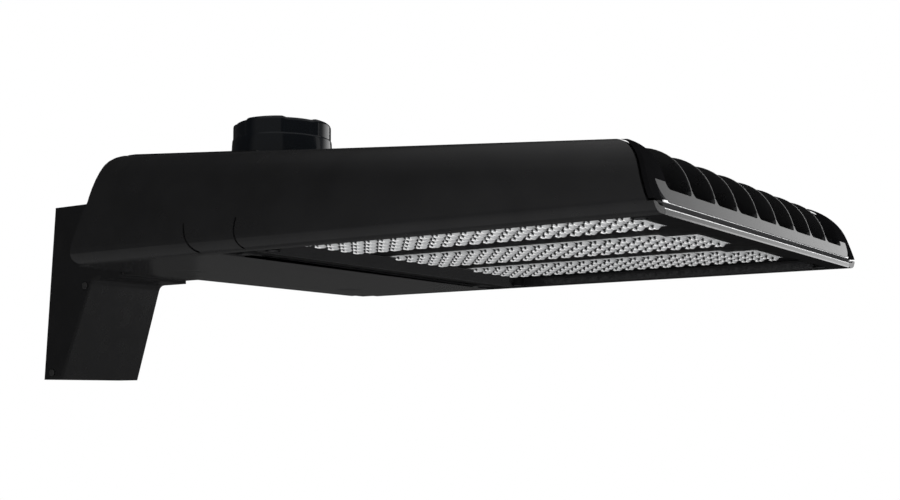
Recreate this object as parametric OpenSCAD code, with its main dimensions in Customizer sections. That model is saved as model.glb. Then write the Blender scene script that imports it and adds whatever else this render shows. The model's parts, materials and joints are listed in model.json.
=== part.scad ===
// Shoebox area light: a flat LED head on a short pole bracket.
// Origin at the centre of the face that bolts to the pole. +X runs out to the nose,
// +Y across the head and +Z up. The flat underside of the head lies in the plane z = 0.

/* [Head] */
// Distance from the pole face to the tip of the nose
reach = 650; // [630:5:680]
// Half of the width over the side rails, at their crease
half_w = 187; // [185:1:190]
// Half of the width of the flat underside
flat_half_w = 177; // [175:1:179]
// Distance from the pole face to the back wall of the head
head_x = 185; // [183:1:187]
// Radius of the head's back top corner, seen from the side
rear_r = 45; // [42:1:48]
// Fall of the roof towards the nose, in degrees
roof_fall = 4.9; // [4.5:0.1:5.2]
// Width of the rounded shoulder of a side rail, seen from the front
shoulder_w = 32; // [30:1:34]
// Height of the rail's crease at the back
crease_back = 14.6; // [13:0.2:15]
// Height of the rail's crease at the nose
crease_nose = 9.5; // [9:0.25:10.5]
// Wall of the cast housing and of the rails
wall = 4; // [3.5:0.5:4.5]

/* [Nose and fins] */
// Radius of the curve where the nose turns into the roof
nose_r = 33; // [31:1:35]
// Lean of the nose face from upright, in degrees
nose_lean = 17; // [15:1:19]
// Length of the straight part of the nose face
nose_flat = 17.9; // [17:0.1:19]
// Number of thin cooling fins
fin_count = 8; // [6:1:9]
// Distance from one fin to the next
fin_pitch = 35.8; // [34:0.1:36]
// Thickness of a fin
fin_t = 2.2; // [1.8:0.1:3]
// Half of the distance between the end walls of the fin bay
bay_half_w = 161; // [160:1:162]

/* [Optics] */
// Distance from the pole face to the back edge of the optic frame
optic_x = 348; // [346:1:350]
// Back end of the lens windows
window_x0 = 370; // [367:1:373]
// Front end of the lens windows
window_x1 = 608; // [604:1:612]
// Width of a lens window
window_w = 73; // [70:1:76]
// Distance between the middles of neighbouring windows
window_pitch = 109; // [107:1:110]
// Distance from one lens to the next along a row
lens_pitch = 10.8; // [10.6:0.1:11.2]
// Number of lens rows on a strip
lens_rows = 5; // [3:1:5]
// Height of the lens plates and of the frame around them above the underside
lens_z = 8; // [7.6:0.1:8.4]

/* [Driver door] */
// Front edge of the door
door_x1 = 329; // [327:1:330]
// Thickness of the door panel
door_t = 3; // [2.5:0.5:3]
// Distance of the door hinge from the pole face
hinge_x = 338.6; // [338:0.2:339.4]
// Height of the door hinge
hinge_z = 4.6; // [4.4:0.1:5]
// Radius of the hinge pins
hinge_pin_r = 2.5; // [2:0.25:2.5]
// Distance of the quarter-turn latches from the pole face
latch_x = 229; // [226:1:232]
// Distance of the latches from the middle of the door
latch_y = 98; // [94:1:102]

/* [Pole bracket] */
// Width of the bracket at its lower end
bracket_w = 87; // [86:1:88]
// Width of the bracket at its top
bracket_top_w = 74; // [72:1:76]
// Top of the bracket
bracket_top = 76; // [74:1:76]
// Lower end of the bracket
bracket_low = -78.5; // [-80:0.5:-76]
// Thickness of the bracket at its lower end
bracket_foot = 24; // [23:1:26]
// Distance from the pole face to the bend under the arm
bracket_bend = 54; // [52:1:56]
// Distance from the pole face to the bracket's front flange
bracket_len = 88; // [86:1:90]
// Spacing of the two pole bolts
bolt_spacing = 101.6; // [95:0.1:105]
// Radius of the pole bolt holes
bolt_hole_r = 6.75; // [5.5:0.25:7]
// Radius of the wire entry in the back plate
wire_hole_r = 15; // [12:1:18]

/* [Twist-lock control] */
// Distance from the pole face to the axis of the receptacle
control_x = 235; // [233:1:237]
// Radius of the cap at its base
cap_r = 42.2; // [41:0.1:43]
// Radius of the cap at its top
cap_top_r = 41.1; // [40:0.1:41.5]
// Top of the cap above the underside of the head
cap_top = 130; // [127:0.5:132]
// Number of grip lobes round the cap
lobes = 4; // [3:1:6]

/* [Hidden] */

arc_steps = 12;
eps = 0.01;
slack = 0.3;
fit = 0.05;
round_fn = 64;
small_fn = 32;
lens_fn = 16;

// Colours as they show in daylight
black_paint = [0.09, 0.09, 0.095];
band_paint = [0.16, 0.16, 0.165];
bar_grey = [0.45, 0.45, 0.46];
steel = [0.62, 0.63, 0.65];
rubber = [0.05, 0.05, 0.05];
clear_lens = [0.86, 0.88, 0.9, 0.7];
board_white = [0.9, 0.9, 0.88];
cap_black = [0.07, 0.08, 0.1];
driver_white = [0.8, 0.8, 0.78];

// ---- Side view of the head -------------------------------------------------
nose_foot = 7;
nose_start_x = reach - nose_flat * sin(nose_lean);
nose_start_z = nose_foot + nose_flat * cos(nose_lean);
nose_cx = nose_start_x - nose_r * cos(nose_lean);
nose_cz = nose_start_z - nose_r * sin(nose_lean);
roof_x1 = nose_cx + nose_r * sin(roof_fall);
roof_z1 = nose_cz + nose_r * cos(roof_fall);
rear_cx = head_x + rear_r;
rear_cz = roof_at(rear_cx) - rear_r / cos(roof_fall);

function roof_at(x) = roof_z1 + (roof_x1 - x) * tan(roof_fall);
function crease_at(x) = crease_back + (crease_nose - crease_back) * (x - head_x) / (reach - head_x);
function arc(cx, cz, rx, rz, from, to, n = arc_steps) = [
    for (i = [0:n])
        let (a = from + (to - from) * i / n)
        [cx + rx * cos(a), cz + rz * sin(a)]
];
// Outline of the head from the side, set in by t, down to the height z_low
function head_outline(t, z_low) = concat(
    [[head_x + t, z_low]],
    arc(rear_cx, rear_cz, rear_r - t, rear_r - t, 180, 90 - roof_fall),
    arc(nose_cx, nose_cz, nose_r - t, nose_r - t, 90 - roof_fall, nose_lean),
    [[nose_face_x(z_low) - t / cos(nose_lean), z_low]]
);
function nose_face_x(z) = reach - (z - nose_foot) * tan(nose_lean);

// Extrudes a drawing made in x and z along Y, from y0 to y1
module side_slab(y0, y1) {
    translate([0, y1, 0])
        rotate([90, 0, 0])
            linear_extrude(y1 - y0)
                children();
}
// Box between two corners
module block(low, high) {
    translate(low)
        cube(high - low);
}
// Cylinder along Y between y0 and y1
module rod_y(x, z, r, y0, y1, fn = small_fn) {
    translate([x, y1, z])
        rotate([90, 0, 0])
            cylinder(h = y1 - y0, r = r, $fn = fn);
}
// Cylinder along X between x0 and x1
module rod_x(x0, x1, y, z, r, fn = small_fn) {
    translate([x0, y, z])
        rotate([0, 90, 0])
            cylinder(h = x1 - x0, r = r, $fn = fn);
}
// Makes a piece on the +Y side, and its twin on the -Y side
module both_sides() {
    children();
    mirror([0, 1, 0])
        children();
}

// ---- Side rails ------------------------------------------------------------
// The back edge of a rail leans forward from its tail, past the waist, to the roof
rail_tail_x = 196.5;
rail_tail_r = 6;
rail_waist = [211.5, 44];
rail_top_x = 214.5;
rail_top_r = 11;
// The front edge stays behind the nose face, so that a dark gap shows
rail_back = 4.2;
rail_lip_z = 5.8;
rail_y0 = bay_half_w - 0.4;
rail_return_y = 172;
rail_screw_xs = [262, 420, 560];
rail_screw_z = 30;
rail_boss_r = 5.5;
rail_boss_y = 184;
rail_screw_y = 175;
side_wall_t = 4;
slit_w = 1.5;
// Each slit: its x, the height of its upright part, how far it sweeps forward at its foot,
// and the angle at which it starts
back_slit = [309, 20.5, 12, 180];
front_slit = [354.3, 12, 5.5, 130];
// Length by which the lofted half head runs past both ends before it is cut
loft_over = 60;

// Section of the head's outside at station x, in y and z, set in by t
function rail_section(x, t) = let (
    c = crease_at(x),
    top = roof_at(x) - t,
    low_r = half_w - flat_half_w
) concat(
    [[0, t], [flat_half_w, t]],
    arc(flat_half_w, c, low_r - t, c - t, -90, -15, 5),
    arc(half_w - shoulder_w, c, shoulder_w - t, top - c, 0, 90),
    [[0, top]]
);
module section_slice(x, t) {
    translate([x, 0, 0])
        rotate([90, 0, 90])
            linear_extrude(eps)
                polygon(rail_section(x, t));
}
// The half of the head on the +Y side, set in by t, before its ends are shaped
module half_loft(t) {
    hull() {
        section_slice(head_x - loft_over, t);
        section_slice(reach + loft_over, t);
    }
}
function shift_back(points, d) = [for (p = points) [p[0] - d, p[1]]];
// Side outline of a rail: slanted round tail, straight roof and curved front edge
function rail_outline() = concat(
    arc(rail_tail_x + rail_tail_r, rail_tail_r, rail_tail_r, rail_tail_r, 270, 180, 5),
    [rail_waist],
    arc(rail_top_x + rail_top_r, roof_at(rail_top_x + rail_top_r) - rail_top_r / cos(roof_fall),
        rail_top_r, rail_top_r, 180, 90 - roof_fall, 6),
    shift_back(arc(nose_cx, nose_cz, nose_r, nose_r, 90 - roof_fall, nose_lean), rail_back),
    [[nose_face_x(nose_foot) - rail_back, nose_foot], [reach - rail_back, rail_lip_z],
     [reach, rail_lip_z], [reach, 0]]
);
// Side outline of the hollow of a rail, set in by t from the rail's back wall
function rail_cavity(t) = [
    [rail_tail_x + wall + t, 0], [rail_waist[0] + wall + t, rail_waist[1]],
    [rail_top_x + wall + 2 + t, roof_at(rail_top_x) - wall - 2],
    [rail_top_x + rail_top_r + t, roof_at(rail_top_x + rail_top_r)],
    [reach + 5, roof_at(reach + 5)], [reach + 5, 0]
];
module side_rail() {
    color(black_paint)
        difference() {
            union() {
                rail_shell();
                intersection() {
                    for (x = rail_screw_xs)
                        rod_y(x, rail_screw_z, rail_boss_r, bay_half_w + side_wall_t, rail_boss_y);
                    half_loft(wall / 2);
                }
            }
            for (x = rail_screw_xs)
                rod_y(x, rail_screw_z, 2.4, bay_half_w, rail_screw_y + 1);
            rail_slit(back_slit);
            rail_slit(front_slit);
        }
}
module rail_shell() {
    difference() {
        intersection() {
            half_loft(0);
            side_slab(rail_y0, half_w + 1)
                polygon(rail_outline());
        }
        intersection() {
            half_loft(wall);
            side_slab(0, half_w)
                polygon(rail_cavity(0));
        }
        block([head_x - 1, 0, -1], [reach + 1, rail_return_y, wall + 2]);
    }
}
// A thin slit through the rail that sweeps forward as it nears the underside
module rail_slit(s) {
    x = s[0] + s[2];
    side_slab(rail_return_y - 1, half_w + 1)
        polygon(concat(
            arc(x, s[1], s[2], s[1] + eps, s[3], 262, 10),
            arc(x, s[1], s[2] - slit_w, s[1] - slit_w, 262, s[3], 10)
        ));
}
module side_rail_right() {
    side_rail();
}
module side_rail_left() {
    mirror([0, 1, 0])
        side_rail();
}
// Screws that hold the rails from inside
module rail_screws() {
    color(steel)
        both_sides()
            for (x = rail_screw_xs) {
                rod_y(x, rail_screw_z, 2.35, bay_half_w - 1, rail_screw_y);
                rod_y(x, rail_screw_z, 4.5, bay_half_w - 4, bay_half_w);
            }
}

// ---- Rear housing ----------------------------------------------------------
roof_half_w = bay_half_w - 0.8;
// Set-in of the parts of the casting that lie under the rails
under_rail = 9;
bay_x0 = head_x + wall + 0.5;
bay_x1 = 346;
sink_x0 = 350;
seat_z = 6.6;
seat_t = 3;
seat_in = 8;
groove_z = 9.4;
hinge_y = 151;
ear_w = 7;
lug_w = 5;
lug_r = 4;
neck_x0 = bracket_len + 2;
neck_half_w = 36.5;
mouth_half_w = 18.5;
neck_low = 10.4;
neck_top = 74.5;
neck_wall = 5;
supply_z = 28;
supply_r = 12;
harness_z = 13;
harness_r = 1.8;
control_seat = 83;
control_pad_r = 45;
control_hub_r = 36;
control_hub_low = 58;
control_bore_r = 31;
joint_bolt_r = 3;
joint_bolts_at = [[-27, 20], [27, 20], [-27, 65], [27, 65]];
bulkhead_bolts_at = [[-110, 26], [-40, 26], [40, 26], [110, 26]];
device_z = 65;
device_pads_at = [[283, -116], [327, -116], [283, 66], [327, 66], [297, 88], [297, 140]];
pad_r = 5;

module housing_outline(t) {
    intersection() {
        polygon(head_outline(t, 0));
        translate([0, -1])
            square([sink_x0, 100]);
    }
}
module bay_outline(t) {
    intersection() {
        polygon(head_outline(t, seat_z + seat_t));
        translate([bay_x0, 0])
            square([bay_x1 - bay_x0, 100]);
    }
}
module rear_housing() {
    color(black_paint) {
        difference() {
            union() {
                housing_shell();
                neck_shell();
                device_pads();
                translate([control_x, 0, control_seat - 10])
                    cylinder(h = 10, r = control_pad_r, $fn = round_fn);
                translate([control_x, 0, control_hub_low])
                    cylinder(h = control_seat - control_hub_low, r = control_hub_r, $fn = round_fn);
            }
            translate([control_x, 0, 40])
                cylinder(h = 60, r = control_bore_r + fit, $fn = round_fn);
            rod_x(head_x - 2, bay_x0 + 1, 0, supply_z, supply_r, round_fn);
            rod_x(bay_x1 - 1, sink_x0 + 1, 0, harness_z, harness_r + 0.2);
            for (p = bulkhead_bolts_at)
                rod_x(bay_x1 - 1, sink_x0 + 1, p[0], p[1], 2.6);
        }
        both_sides()
            hinge_lugs();
    }
}
module housing_shell() {
    difference() {
        union() {
            side_slab(-roof_half_w, roof_half_w)
                housing_outline(0);
            // Side walls, which end inside the hollows of the rails
            side_slab(-bay_half_w - side_wall_t, bay_half_w + side_wall_t)
                intersection() {
                    housing_outline(under_rail);
                    polygon(rail_cavity(slack));
                }
        }
        side_slab(-roof_half_w + wall, roof_half_w - wall)
            bay_outline(wall);
        side_slab(-bay_half_w, bay_half_w)
            intersection() {
                bay_outline(under_rail + wall + 1);
                polygon(rail_cavity(wall + slack));
            }
        // Seat of the door and the groove in front of it
        block([bay_x0, -half_w, -1], [sink_x0 + 1, half_w, seat_z]);
        block([door_x1 - 3, -half_w, -1], [sink_x0 + 1, half_w, groove_z]);
        // Opening over the door
        block([bay_x0 + seat_in, -bay_half_w + seat_in, -1],
              [door_x1 - 8, bay_half_w - seat_in, seat_z + seat_t + 1]);
        both_sides()
            for (x = rail_screw_xs)
                rod_y(x, rail_screw_z, 2.4, bay_half_w - 6, bay_half_w + side_wall_t + 1);
    }
}
// Square neck that carries the head on the bracket
module neck_shell() {
    difference() {
        side_slab(-neck_half_w, neck_half_w)
            difference() {
                polygon([[neck_x0, neck_low], [rear_cx, neck_low], [rear_cx, neck_top],
                         [neck_x0, neck_top]]);
                polygon(head_outline(wall - 0.5, -10));
            }
        difference() {
            block([neck_x0 - 1, -neck_half_w + neck_wall, neck_low + neck_wall],
                  [head_x, neck_half_w - neck_wall, neck_top - neck_wall]);
            for (p = joint_bolts_at)
                rod_x(neck_x0 - 1, neck_x0 + 26, p[0], p[1], 7.5);
        }
        for (p = joint_bolts_at)
            rod_x(neck_x0 - 1, neck_x0 + 20, p[0], p[1], joint_bolt_r);
    }
}
module device_pads() {
    for (p = device_pads_at)
        translate([p[0], p[1], device_z])
            difference() {
                cylinder(h = roof_at(p[0]) - device_z - 1, r = pad_r, $fn = small_fn);
                translate([0, 0, -1])
                    cylinder(h = 3, r = 1.6, $fn = small_fn);
            }
}
module hinge_lugs() {
    for (y = [hinge_y - ear_w / 2 - lug_w - slack, hinge_y + ear_w / 2 + slack])
        difference() {
            union() {
                rod_y(hinge_x, hinge_z, lug_r, y, y + lug_w);
                block([hinge_x - lug_r, y, hinge_z], [hinge_x + lug_r, y + lug_w, groove_z + 1]);
            }
            rod_y(hinge_x, hinge_z, hinge_pin_r, y - 1, y + lug_w + 1);
        }
}

// ---- Heat sink -------------------------------------------------------------
base_low = 12.4;
base_top = 15.8;
fin_x0 = 366;
fin_slope = 23;
cheek_depth = 30;
cheek_flange = 2.8;
frame_screws_at = [[366.5, 160.5], [631, 162]];
rib_x = 638.5;
rib_t = 2.4;
rib_h = 3;
boss_x = 639.5;
boss_y = 150.5;
boss_r = 4.2;
boss_h = 4.5;
skirt_x = 645.6;
skirt_t = 4.6;
skirt_low = 4.2;

module heat_sink() {
    color(black_paint)
        difference() {
            union() {
                sink_base();
                nose_skirt();
                low_ribs();
                both_sides() {
                    sink_end_wall();
                    nose_cheek();
                    translate([boss_x, boss_y, base_top - 1])
                        cylinder(h = boss_h + 1, r = boss_r, $fn = small_fn);
                    for (p = frame_screws_at)
                        translate([p[0], p[1], plate_top + 0.1])
                            cylinder(h = base_low - plate_top, r = 4, $fn = small_fn);
                }
            }
            both_sides()
                for (p = frame_screws_at)
                    translate([p[0], p[1], 0])
                        cylinder(h = 14, r = 1.9, $fn = small_fn);
            both_sides()
                for (x = rail_screw_xs)
                    if (x > sink_x0)
                        rod_y(x, rail_screw_z, 2.4, bay_half_w - 1, bay_half_w + side_wall_t + 1);
            for (p = bulkhead_bolts_at)
                rod_x(sink_x0 - 1, sink_x0 + 5, p[0], p[1], 2.6);
            on_nose_face(bezel_t, 2)
                bezel_seat();
            // Channel for the board leads
            block([sink_x0 - 1, -harness_r - 0.4, base_low - 1],
                  [window_x0, harness_r + 0.4, harness_z + harness_r + 0.2]);
        }
}
module sink_base() {
    difference() {
        union() {
            block([sink_x0, -bay_half_w - side_wall_t, base_low],
                  [nose_face_x(base_top) - bezel_t - 0.4, bay_half_w + side_wall_t, base_top]);
            block([sink_x0, -bay_half_w - side_wall_t, base_low],
                  [sink_x0 + wall, bay_half_w + side_wall_t, roof_at(sink_x0) - under_rail - wall]);
        }
        // Seats of the three boards
        for (k = [-1:1])
            block([window_x0 - 10, k * window_pitch - board_w / 2 - slack, base_low - 1],
                  [window_x1 + 10, k * window_pitch + board_w / 2 + slack, base_low + board_seat]);
    }
}
// Front wall under the foot bar, a little behind the nose face
module nose_skirt() {
    block([skirt_x - skirt_t, -bay_half_w - 1, skirt_low], [skirt_x, bay_half_w + 1, base_low + 1]);
}
// Low ribs that tie the base together between the fins, near the nose
module low_ribs() {
    for (i = [0:fin_count]) {
        y0 = max(fin_y(i - 1) + fin_t / 2, -bay_half_w - 1);
        y1 = min(fin_y(i) - fin_t / 2, bay_half_w + 1);
        block([rib_x, y0, base_top - 1], [rib_x + rib_t, y1, base_top + rib_h]);
    }
}
function fin_y(i) = (i - (fin_count - 1) / 2) * fin_pitch;

// Thin upright fins that follow the roof line and the curve of the nose down to the foot bar
module cooling_fins() {
    color(black_paint)
        difference() {
            for (i = [0:fin_count - 1])
                side_slab(fin_y(i) - fin_t / 2, fin_y(i) + fin_t / 2)
                    fin_side_view();
            on_nose_face(bezel_t, 2)
                translate([-bay_half_w, bezel_foot - 3])
                    square([2 * bay_half_w, 3 + bezel_h + foot_flare]);
        }
}
module fin_side_view() {
    intersection() {
        polygon(head_outline(0, base_top));
        polygon([[fin_x0, base_top], [reach, base_top], [reach, 90], [fin_x0 + fin_slope, 90]]);
    }
}
module sink_end_wall() {
    side_slab(bay_half_w, bay_half_w + side_wall_t)
        intersection() {
            polygon(head_outline(under_rail, base_low));
            translate([sink_x0, base_low])
                square([reach - sink_x0 - 10, 90]);
        }
}
// Corner that closes the open front end of a rail: a core that fits inside the rail,
// and a thin flange in front of it that comes flush with the outside
module nose_cheek() {
    intersection() {
        union() {
            half_loft(wall + slack);
            difference() {
                half_loft(0.2);
                side_slab(-1, half_w + 1)
                    polygon(shift_back(head_outline(0, -5), cheek_flange));
            }
        }
        side_slab(bay_half_w, half_w + 1)
            polygon(head_outline(0, nose_foot + slack));
        difference() {
            block([reach - cheek_depth, bay_half_w, 0], [reach + 1, half_w + 1, 60]);
            block([reach - cheek_depth - 1, 0, 0], [front_wall_x + front_wall_t, rail_return_y, plate_top + slack]);
        }
    }
}

// ---- Nose bezel ------------------------------------------------------------
bezel_low = 7.3;
bezel_h = 8.5;
bezel_t = 2.6;
bezel_half_w = 175.5;
bezel_post_w = 14;
bezel_post_top = 19.5;
bezel_corner = 12;
// Radius of the flare where the bar runs up into each fin and into its end posts
foot_flare = 4;

// U-shaped bar along the foot of the fins, lying on the leaning nose face
module nose_bezel() {
    color(bar_grey)
        on_nose_face(bezel_t, 0)
            bezel_drawing();
}
// Extrudes a drawing made in the plane of the nose face, inwards and outwards
module on_nose_face(inwards, outwards) {
    translate([reach, 0, nose_foot])
        rotate([0, -nose_lean, 0])
            translate([-inwards, 0, 0])
                rotate([90, 0, 90])
                    linear_extrude(inwards + outwards)
                        children();
}
bezel_foot = (bezel_low - nose_foot) / cos(nose_lean);
bezel_head = (bezel_post_top - nose_foot) / cos(nose_lean);
bezel_inner = bezel_half_w - bezel_post_w;
bezel_edge = bezel_foot + bezel_h;
// Upper edge of the bar from the +Y post to the -Y post, flared up at every fin
bezel_upper = concat(
    [[bezel_half_w, bezel_head], [bezel_inner, bezel_head]],
    arc(bezel_inner - foot_flare, bezel_edge + foot_flare, foot_flare, foot_flare, 0, -90, 5),
    [for (i = [fin_count - 1:-1:0]) each fin_flare(fin_y(i))],
    arc(foot_flare - bezel_inner, bezel_edge + foot_flare, foot_flare, foot_flare, -90, -180, 5),
    [[-bezel_inner, bezel_head], [-bezel_half_w, bezel_head]]
);
function fin_flare(y) = let (out = fin_t / 2 + foot_flare, up = bezel_edge + foot_flare) concat(
    arc(y + out, up, foot_flare, foot_flare, 270, 180, 5),
    arc(y - out, up, foot_flare, foot_flare, 0, -90, 5)
);
module bezel_drawing() {
    corner_y = bezel_half_w - bezel_corner;
    polygon(concat(
        arc(-corner_y, bezel_foot + bezel_corner, bezel_corner, bezel_corner, 180, 270, 8),
        arc(corner_y, bezel_foot + bezel_corner, bezel_corner, bezel_corner, 270, 360, 8),
        bezel_upper
    ));
}
// The place of the bar in the cheeks
module bezel_seat() {
    difference() {
        translate([-bezel_half_w, bezel_foot - 3])
            square([2 * bezel_half_w, bezel_head - bezel_foot + 3]);
        translate([foot_flare - bezel_inner, bezel_edge])
            square([2 * (bezel_inner - foot_flare), bezel_head]);
    }
}

// ---- Optics ----------------------------------------------------------------
lip_h = 3.1;
frame_half_w = rail_return_y - 0.4;
// The plate of the frame ends short of the rails, so that a dark gap shows
plate_half_w = 168.5;
plate_top = 10.6;
rear_rib_t = 7;
front_wall_x = 636;
front_wall_t = 4.4;
frame_boss_r = 5.4;
gasket_x0 = 354;
gasket_x1 = 633;
gasket_half_w = 156;
gasket_w = 4;
// The corner of a window at the nose that has no lenses
notch_x = 24;
notch_y = 13;
board_w = window_w + 8;
board_t = 1.6;
board_seat = 0.4;
board_z = base_low + board_seat - board_t;
lens_plate_t = 1.8;
lens_rim = 2;
lens_flange = 3;
lens_r = 5;
lens_drop = 2.2;
led_size = 3;
row_pitch = window_w / (lens_rows + 0.1);

module optic_frame() {
    color(black_paint)
        difference() {
            union() {
                block([sink_x0 + 0.4, -plate_half_w, lens_z],
                      [front_wall_x + front_wall_t, plate_half_w, plate_top]);
                block([optic_x, -frame_half_w, 0], [optic_x + rear_rib_t, frame_half_w, groove_z - slack]);
                side_slab(-frame_half_w, frame_half_w)
                    polygon([[front_wall_x, 0], [reach - 0.6, 0], [reach, 0.8], [reach, lip_h],
                             [front_wall_x + front_wall_t, lip_h],
                             [front_wall_x + front_wall_t, plate_top], [front_wall_x, plate_top]]);
                both_sides()
                    for (p = frame_screws_at)
                        translate([p[0], p[1], 0.3])
                            cylinder(h = lens_z, r = frame_boss_r, $fn = small_fn);
            }
            for (k = [-1:1])
                translate([0, k * window_pitch, lens_z - 1])
                    linear_extrude(plate_top)
                        window_drawing(0);
            both_sides()
                for (p = frame_screws_at)
                    translate([p[0], p[1], -1]) {
                        cylinder(h = 14, r = 2.1, $fn = small_fn);
                        cylinder(h = 2.8, r = 4.2, $fn = small_fn);
                    }
        }
}
// Outline of a window about its own middle line, widened by grow
module window_drawing(grow) {
    x0 = window_x0 - grow;
    x1 = window_x1 + grow;
    y = window_w / 2 + grow;
    polygon([[x0, -y], [x1 - notch_x, -y], [x1 - notch_x, notch_y - y], [x1, notch_y - y],
             [x1, y], [x0, y]]);
}
module optic_gasket() {
    color(rubber)
        difference() {
            block([gasket_x0, -gasket_half_w, plate_top], [gasket_x1, gasket_half_w, base_low]);
            block([gasket_x0 + gasket_w, gasket_w - gasket_half_w, plate_top - 1],
                  [gasket_x1 - gasket_w, gasket_half_w - gasket_w, base_low + 1]);
        }
}
module optic_screws() {
    color(steel)
        both_sides()
            for (p = frame_screws_at)
                translate([p[0], p[1], 0.5]) {
                    cylinder(h = 13.2, r = 1.85, $fn = small_fn);
                    cylinder(h = 1.3, r = 3.6, $fn = small_fn);
                }
}
function lens_count(row) = floor((window_x1 - window_x0) / lens_pitch)
    - (row == 0 ? ceil(notch_x / lens_pitch) - 1 : 0);
function lens_x(i) = window_x0 + lens_pitch * (0.5 + i);
function lens_y(row) = (row - (lens_rows - 1) / 2) * row_pitch;

// Moulded plate with a field of low lenses that bulge downwards, held by a flange above the frame
module lens_strip(y) {
    color(clear_lens)
        translate([0, y, 0]) {
            difference() {
                union() {
                    translate([0, 0, lens_z])
                        linear_extrude(plate_top - lens_z + fit)
                            window_drawing(-slack);
                    block([window_x0 - lens_flange, -window_w / 2 - lens_flange, plate_top + fit],
                          [window_x1 + lens_flange, window_w / 2 + lens_flange, board_z]);
                }
                translate([0, 0, lens_z + lens_plate_t])
                    linear_extrude(board_z)
                        window_drawing(-lens_rim);
            }
            for (row = [0:lens_rows - 1])
                for (i = [0:lens_count(row) - 1])
                    translate([lens_x(i), lens_y(row), lens_z - lens_drop])
                        cylinder(h = lens_drop + eps, r1 = lens_r * 0.5, r2 = lens_r, $fn = lens_fn);
        }
}
module lens_strip_left() { lens_strip(-window_pitch); }
module lens_strip_centre() { lens_strip(0); }
module lens_strip_right() { lens_strip(window_pitch); }

// Circuit board with one light source behind every lens
module led_board(y) {
    color(board_white)
        translate([0, y, 0]) {
            block([window_x0 - 8, -board_w / 2, board_z], [window_x1 + 8, board_w / 2, board_z + board_t]);
            translate([0, 0, board_z - 0.7])
                linear_extrude(0.7)
                    for (row = [0:lens_rows - 1])
                        for (i = [0:lens_count(row) - 1])
                            translate([lens_x(i), lens_y(row)])
                                square(led_size, center = true);
        }
}
module led_board_left() { led_board(-window_pitch); }
module led_board_centre() { led_board(0); }
module led_board_right() { led_board(window_pitch); }

// ---- Pole bracket ----------------------------------------------------------
bracket_t = 4;
back_t = 6;
cover_t = 3;
under_z = 8;
bend_r = 7;
cover_end_x = bracket_bend + 12;
slope_run = bracket_bend - 2 - bracket_foot;
slope_rise = -bracket_low;
slope_angle = atan2(slope_run, slope_rise);
bend_cx = bracket_bend + bend_r * 0.9;
bend_cz = under_z - bend_r;
cover_screws_at = [[45.8, 2.9], [10, -72.5]];
cover_tab_t = 3;
flange_t = 5;

// Side outline of the bracket, set in by t at its foot, its slope and its underside
function bracket_outline(t) = concat(
    [[0, bracket_low + t], [bracket_foot - t, bracket_low + t]],
    arc(bend_cx, bend_cz, bend_r + t, bend_r + t, 180 - slope_angle, 90, 6),
    [[bracket_len, under_z + t], [bracket_len, bracket_top], [0, bracket_top]]
);
// Half of the bracket's width at height z: it narrows evenly towards the top
bracket_taper = (bracket_w - bracket_top_w) / 2 / (bracket_top - bracket_low);
function bracket_half(z) = bracket_w / 2 - (z - bracket_low) * bracket_taper;

// Everything between the slanted sides of the bracket
module between_cheeks() {
    low = bracket_half(bracket_low) - eps;
    top = bracket_half(bracket_top) - eps;
    translate([-1, 0, 0])
        rotate([90, 0, 90])
            linear_extrude(bracket_len + 2)
                polygon([[-low, bracket_low - eps], [low, bracket_low - eps],
                         [top, bracket_top + eps], [-top, bracket_top + eps]]);
}
// Upright slab that leans with the bracket's side: depth behind the surface, then thickness
module cheek_slab(depth, t) {
    multmatrix([[1, 0, 0, 0], [0, 1, -bracket_taper, 0], [0, 0, 1, 0], [0, 0, 0, 1]])
        side_slab(bracket_half(0) - depth - t, bracket_half(0) - depth)
            children();
}
module pole_bracket() {
    color(black_paint)
        difference() {
            union() {
                both_sides()
                    cheek_slab(0, bracket_t)
                        polygon(bracket_outline(cover_t + 0.1));
                intersection() {
                    bracket_plates();
                    between_cheeks();
                }
            }
            // Way through the flange, with its corners left for the bolts
            block([bracket_len - flange_t - 1, -mouth_half_w, under_z + bracket_t + 2],
                  [bracket_len + 1, mouth_half_w, bracket_top - bracket_t - 2]);
            for (p = joint_bolts_at)
                rod_x(bracket_len - flange_t - 1, bracket_len + 1, p[0], p[1], joint_bolt_r + 0.3);
            for (s = [-1, 1])
                rod_x(-1, back_t + 1, 0, s * bolt_spacing / 2, bolt_hole_r);
            rod_x(-1, back_t + 1, 0, 0, wire_hole_r, round_fn);
            both_sides()
                for (p = cover_screws_at)
                    rod_y(p[0], p[1], 1.9, bracket_half(p[1]) - bracket_t - 1, bracket_half(p[1]) + 1);
        }
}
// Back plate, top and front flange of the bracket, before their sides are cut to the taper
module bracket_plates() {
    side_slab(-bracket_w / 2, bracket_w / 2) {
        translate([0, bracket_low])
            square([back_t, bracket_top - bracket_low]);
        translate([0, bracket_top - bracket_t])
            square([bracket_len, bracket_t]);
        translate([cover_end_x, under_z])
            square([bracket_len - cover_end_x, bracket_t]);
        translate([bracket_len - flange_t, under_z])
            square([flange_t, bracket_top - under_z]);
    }
}
// Sloped cover over the pole bolts, with tabs inside the bracket's cheeks
module access_cover() {
    color(band_paint)
        difference() {
            union() {
                intersection() {
                    side_slab(-bracket_w / 2, bracket_w / 2)
                        difference() {
                            cover_side_view();
                            polygon(bracket_outline(cover_t));
                        }
                    between_cheeks();
                }
                both_sides()
                    for (p = cover_screws_at)
                        cheek_slab(bracket_t + slack, cover_tab_t)
                            intersection() {
                                cover_side_view();
                                translate([p[0] - 5, p[1] - 7])
                                    square([14, 14]);
                            }
            }
            both_sides()
                for (p = cover_screws_at)
                    rod_y(p[0], p[1], 1.6, bracket_half(p[1]) - 12, bracket_half(p[1]) - 1);
        }
}
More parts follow.
